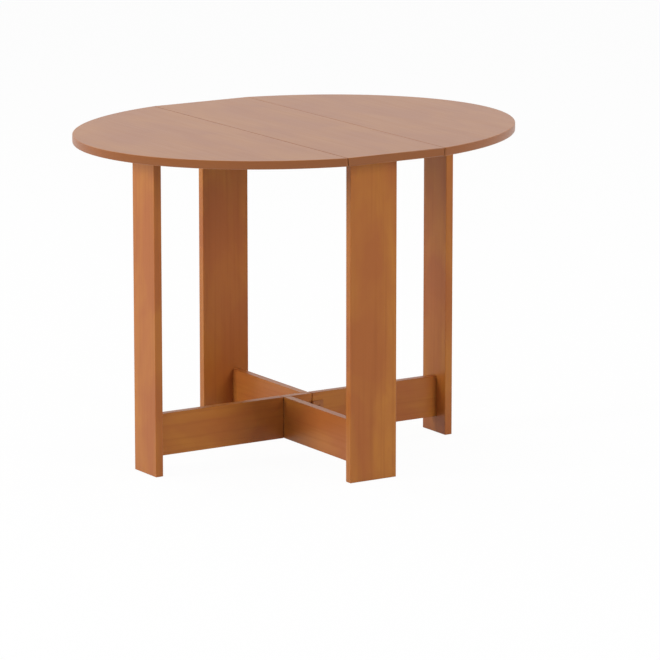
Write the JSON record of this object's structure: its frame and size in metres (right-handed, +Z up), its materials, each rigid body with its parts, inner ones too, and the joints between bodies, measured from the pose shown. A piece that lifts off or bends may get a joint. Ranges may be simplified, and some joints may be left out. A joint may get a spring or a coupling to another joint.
{
  "type": "butterfly folding table",
  "caption": "Oval wooden folding table: a fixed centre strip on crossed board legs, two hinged drop leaves and two swinging legs that carry them.",
  "frame": {"origin": "on the floor, under the middle of the top", "axes": "+X across the two leaves, +Y along the centre strip to the rear, +Z up"},
  "size_m": [0.9998, 0.8, 0.72],
  "materials": {
    "honey_wood": "satin honey-brown stained wood",
    "hinge_steel": "zinc-plated steel",
    "dowel_wood": "bare beech"
  },
  "bodies": {
    "base": {"centre_top": "honey_wood", "centre_block": "honey_wood", "front_leg": "honey_wood", "front_rail": "honey_wood", "front_leg_dowels": "dowel_wood", "front_rail_dowels": "dowel_wood", "front_top_brackets": "hinge_steel", "front_top_bracket_screws": "hinge_steel", "rear_leg": "honey_wood", "rear_rail": "honey_wood", "rear_leg_dowels": "dowel_wood", "rear_rail_dowels": "dowel_wood", "rear_top_brackets": "hinge_steel", "rear_top_bracket_screws": "hinge_steel", "left_leaf_hinge_strip_plates": "hinge_steel", "left_leaf_hinge_strip_screws": "hinge_steel", "left_leaf_hinge_pins": "hinge_steel", "left_gate_hinge_fixed_plate": "hinge_steel", "left_gate_hinge_fixed_screws": "hinge_steel", "left_gate_hinge_pin": "hinge_steel", "right_leaf_hinge_strip_plates": "hinge_steel", "right_leaf_hinge_strip_screws": "hinge_steel", "right_leaf_hinge_pins": "hinge_steel", "right_gate_hinge_fixed_plate": "hinge_steel", "right_gate_hinge_fixed_screws": "hinge_steel", "right_gate_hinge_pin": "hinge_steel"},
    "left_drop_leaf": {"left_leaf": "honey_wood", "left_leaf_hinge_leaf_plates": "hinge_steel", "left_leaf_hinge_leaf_screws": "hinge_steel"},
    "left_gate": {"left_leg": "honey_wood", "left_rail": "honey_wood", "left_leg_dowels": "dowel_wood", "left_gate_hinge_swing_plate": "hinge_steel", "left_gate_hinge_swing_screws": "hinge_steel"},
    "right_drop_leaf": {"right_leaf": "honey_wood", "right_leaf_hinge_leaf_plates": "hinge_steel", "right_leaf_hinge_leaf_screws": "hinge_steel"},
    "right_gate": {"right_leg": "honey_wood", "right_rail": "honey_wood", "right_leg_dowels": "dowel_wood", "right_gate_hinge_swing_plate": "hinge_steel", "right_gate_hinge_swing_screws": "hinge_steel"}
  },
  "joints": [
    {"name": "left_leaf_hinge", "type": "hinge", "parent": "base", "child": "left_drop_leaf", "pos_m": [-0.12075, 0, 0.6988], "axis": [0, -1, 0], "range_deg": [-3, 0]},
    {"name": "left_gate_swing", "type": "hinge", "parent": "base", "child": "left_gate", "pos_m": [-0.0365, 0.0122, 0.082], "axis": [0, 0, -1], "range_deg": [0, 85]},
    {"name": "right_leaf_hinge", "type": "hinge", "parent": "base", "child": "right_drop_leaf", "pos_m": [0.12075, 0, 0.6988], "axis": [0, 1, 0], "range_deg": [-3, 0]},
    {"name": "right_gate_swing", "type": "hinge", "parent": "base", "child": "right_gate", "pos_m": [0.0365, -0.0122, 0.082], "axis": [0, 0, -1], "range_deg": [0, 85]}
  ]
}
